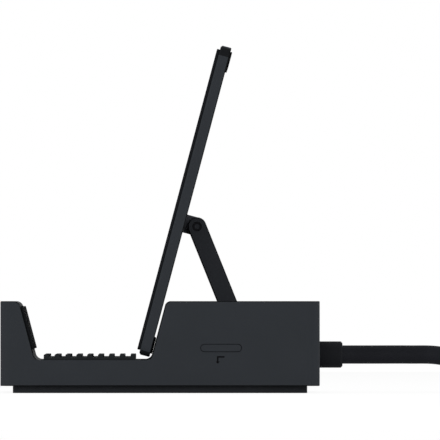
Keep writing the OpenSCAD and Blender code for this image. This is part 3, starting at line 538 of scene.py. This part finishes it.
# The bent arrow under the button: engraved by the mould and filled with ink, which is black and
# shows no highlight.
ARROW_LENGTH, ARROW_SIDE, ARROW_DROP = 1.89, 0.19, 2.5
INK_DEPTHS = (0.28, 0.2)
head = 3 * ARROW_SIDE
outline = np.array([
    (ARROW_LENGTH, ARROW_SIDE), (ARROW_LENGTH, -ARROW_SIDE), (ARROW_SIDE, -ARROW_SIDE),
    (ARROW_SIDE, head - ARROW_LENGTH), (head, head - ARROW_LENGTH), (0, -ARROW_LENGTH),
    (-head, head - ARROW_LENGTH), (-ARROW_SIDE, head - ARROW_LENGTH), (-ARROW_SIDE, ARROW_SIDE)])
outline = button_middle[1:] + outline - (ARROW_LENGTH / 2, ARROW_DROP)
ink = moulding("pad-printed ink, black", "#050506", 0.6, 0.2 * MM, 0.005 * MM, specular=0.02)
rings = np.array([np.column_stack([np.full(len(outline), button_middle[0] - depth), outline])
                  for depth in INK_DEPTHS]) * MM
place("arrow_ink", loft("arrow_ink", rings), ink)

# The trough's lining: a ribbed mat of silicone rubber on its floor, and a smooth strip on the
# front lip's slope. Silicone has hardly any highlight, and the ribs show by their shadows.
mat_rubber = moulding("moulded silicone rubber, charcoal", "#26282a", 0.75, 0.3 * MM, 0.02 * MM,
                      specular=0.02)
softened("trough_mat", "ribbed_mat", 0.15 * MM, mat_rubber, "root")
strip_rubber = moulding("moulded silicone rubber, dark", "#1a1b1d", 0.8, 0.3 * MM, 0.02 * MM,
                        specular=0.01)
softened("lip_pad", "lip_strip", 0.2 * MM, strip_rubber, "root")

# The side button: a separate ABS moulding in its own slot, in the housing's finish.
softened("mode_button", "side_button", 0.1 * MM, housing_abs, "button")

# The strut: cast aluminium, anodised black. It turns on a ground steel pin in the housing and
# carries a thinner one at its top, with a washer beside each bearing. The anodising is a little
# darker than the housing and has no metal gleam.
strut_black = moulding("cast aluminium, black anodised", "#2d2f33", 0.62, 0.3 * MM, 0.02 * MM,
                       specular=0.05, mottle=0.04)
# Its edge roundings are painted nearly black: painted shade along every edge
anodised_edge_shade = moulding("anodised edges, painted shade", "#0a0a0c", 0.5, 0.3 * MM, 0.005 * MM,
                     specular=0.02, mottle=0.03)
# The upper pin's axis, as y and z, and the radius round it that takes in its recess
upper_axis = next(np.array(joint["pos_m"][1:]) / MM for joint in frame["joints"]
                  if joint["name"] == "plate_pivot")
PIN_RECESS = 1.6


def round_upper_pin(p):
    """Edges of the recess round each end of the upper pin."""
    return np.linalg.norm(p[:, 1:] - upper_axis, axis=1) < PIN_RECESS


softened("strut_arm", "strut", 0.22 * MM, strut_black, "strut", rim=anodised_edge_shade,
         crisp=round_upper_pin)
# Ground and blackened, the pins show a thin soft line of light
pin_steel = metal("blackened steel pin", "#222328", 0.5, 0.1 * MM)
for node in ("lower_hinge_pin", "lower_washers", "upper_hinge_pin", "upper_washers"):
    dress(node, pin_steel)

# Over each end of the upper pin, a ring of painted shade round a sunk middle in the strut's own
# finish, for the shadow in the recess. It fills the recess and stands a hair proud of the strut's
# side. The profile is each ring's radius and how far out of the side it stands, in millimetres.
RING_PROFILE = np.array([(0.7, 0.01), (0.78, 0.05), (1.26, 0.05), (1.33, -0.03), (1.33, -0.4)])
RING_SIDES = 48
strut_side = box_mm("strut_arm")[1][0]
around = np.linspace(0, 2 * np.pi, RING_SIDES, endpoint=False)
circle = np.column_stack([np.cos(around), np.sin(around)])
shade_rings = [np.array([
    np.column_stack([np.full(RING_SIDES, side * (strut_side + out)), upper_axis + r * circle])
    for r, out in RING_PROFILE]) * MM for side in (-1, 1)]
# Painted shade: the ring is darker than the anodising, so it draws a circle on the strut
recess_shade_black = moulding("painted recess shade, black", "#1a1a1d", 0.6, 0.2 * MM, 0.005 * MM,
                     specular=0.03)
pin_shade_rings = place("pin_shade_rings", loft("pin_shade_rings", *shade_rings), recess_shade_black, "strut")
pin_shade_rings.data.materials.append(strut_black)
face_sides = np.empty(len(pin_shade_rings.data.polygons), np.int32)
pin_shade_rings.data.polygons.foreach_get("loop_total", face_sides)
outer = np.abs(face_middles(pin_shade_rings.data)[:, 0]) > strut_side
pin_shade_rings.data.polygons.foreach_set(
    "material_index", ((face_sides == RING_SIDES) & outer).astype(np.int32))

# The bracket: a flanged casting let into the plate's back, held by four countersunk screws. Its grey
# is lighter than the strut's, painted light against the shade between the cheeks, so the tongue
# shows.
bracket_lightened = moulding("cast aluminium, lightened against its shade", "#46484d", 0.6, 0.3 * MM, 0.02 * MM,
                        specular=0.05, mottle=0.04)
softened("hinge_bracket", "bracket", 0.15 * MM, bracket_lightened, "plate")
dress("bracket_screws", screw_steel)

# The back plate: the same ABS as the housing, chamfered round its front, with a thin rubber pad
# on the front and two rubber strips on the back. Its foot is where its back meets its lower
# end. Its sizes are in millimetres.
PLATE_LEAN = np.radians(14.9)
PLATE_BACKWARD = np.array([0, np.cos(PLATE_LEAN), -np.sin(PLATE_LEAN)])
PLATE_UPWARD = np.array([0, np.sin(PLATE_LEAN), np.cos(PLATE_LEAN)])
PLATE_FOOT_Y = -2.998
PLATE_LENGTH, PLATE_CORNER, PLATE_TOP_FACE = 90.1, 2.8, 0.4
plate_low, plate_high = box_mm("back_plate")
plate_foot = np.array([0, PLATE_FOOT_Y, plate_low[2]])
# The bracket's pocket in the plate's back, round the upper pin's height: half its size
POCKET_HALF_W, POCKET_HALF_H = 19, 8
ON_BACK = 0.05
pocket_up = (np.array([0, *upper_axis]) - plate_foot) @ PLATE_UPWARD


def at_corners(p):
    """Faces of the plate's four round corners, short of its top face: painted shade, black,
    where the corners turn away from the light."""
    up = (p - plate_foot) @ PLATE_UPWARD
    at_foot = up < PLATE_CORNER / 2
    at_top = (up > PLATE_LENGTH - PLATE_CORNER) & (up < PLATE_LENGTH - PLATE_TOP_FACE)
    return (at_foot | at_top) & (np.abs(p[:, 0]) > plate_high[0] - PLATE_CORNER)


def off_back_outline(p):
    """Every edge of the plate except the outline of its back: the front is chamfered already,
    and the bracket fills its pocket."""
    local = p - plate_foot
    near_pin = np.abs(local @ PLATE_UPWARD - pocket_up) < POCKET_HALF_H
    pocket = (np.abs(p[:, 0]) < POCKET_HALF_W) & near_pin
    return (np.abs(local @ PLATE_BACKWARD) > ON_BACK) | pocket


# Painted shade on the round corners: black where the plate is dark grey, and as dull
painted_corner_shade = moulding("painted shade, round corners", "#17181a", 0.6, 0.3 * MM, 0.01 * MM,
                        specular=0.03)
# The plate's edge roundings take the housing's painted edge shade, nearly black
softened("back_plate", "leaning_plate", 0.25 * MM, housing_abs, "plate", rim=abs_edge_shade,
         crisp=off_back_outline, inset=(painted_corner_shade, at_corners))
# The pad's coarser grain swallows the light, and it looks darker than the plate
pad_rubber = moulding("moulded rubber pad, fine matt grain", "#1c1d20", 0.85, 0.5 * MM, 0.05 * MM,
                      specular=0.02, mottle=0.1)
softened("front_pad", "plate_pad", 0.2 * MM, pad_rubber, "plate")
# The strips have the blackest finish on the plate
bumper_rubber = moulding("moulded silicone rubber, black", "#0e0f11", 0.8, 0.3 * MM, 0.02 * MM,
                         specular=0.01)
for end in ("upper", "lower"):
    softened(end + "_bumper", end + "_strip", 0.15 * MM, bumper_rubber, "plate")

bpy.context.scene.view_settings.view_transform = "Standard"
